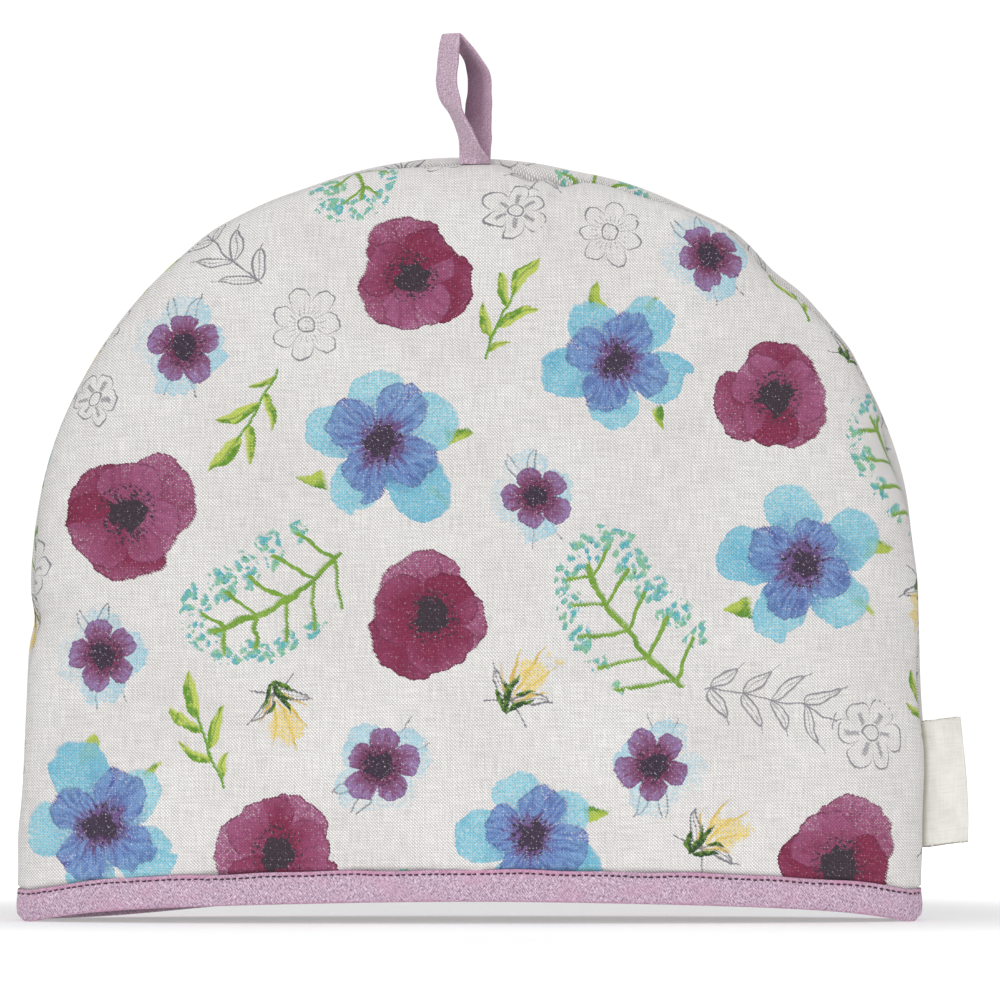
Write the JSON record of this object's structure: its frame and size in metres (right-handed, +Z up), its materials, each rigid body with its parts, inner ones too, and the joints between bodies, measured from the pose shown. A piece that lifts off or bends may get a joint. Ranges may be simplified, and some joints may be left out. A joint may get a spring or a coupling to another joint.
{
  "type": "tea cosy",
  "caption": "Padded, dome-shaped tea cosy of two floral cotton panels, standing open on its bound hem, with a hanging loop at the top and a bare side label.",
  "frame": {"origin": "on the floor, under the middle of the whole thing's bounding box, the side label counted", "axes": "+Z up from the hem to the loop, +X across to the side that carries the label, -Y out of the front panel"},
  "size_m": [0.3586, 0.081, 0.333],
  "materials": {
    "printed_cotton": "matt plain-woven cotton, printed with flowers",
    "binding_cotton": "matt mauve-pink cotton cut on the bias",
    "loop_tape": "matt mauve cotton tape",
    "label_tape": "matt cream woven tape, bare"
  },
  "bodies": {
    "root": {"front_panel": "printed_cotton", "back_panel": "printed_cotton", "hem_binding": "binding_cotton", "hanging_loop": "loop_tape", "side_label": "label_tape"}
  },
  "joints": []
}
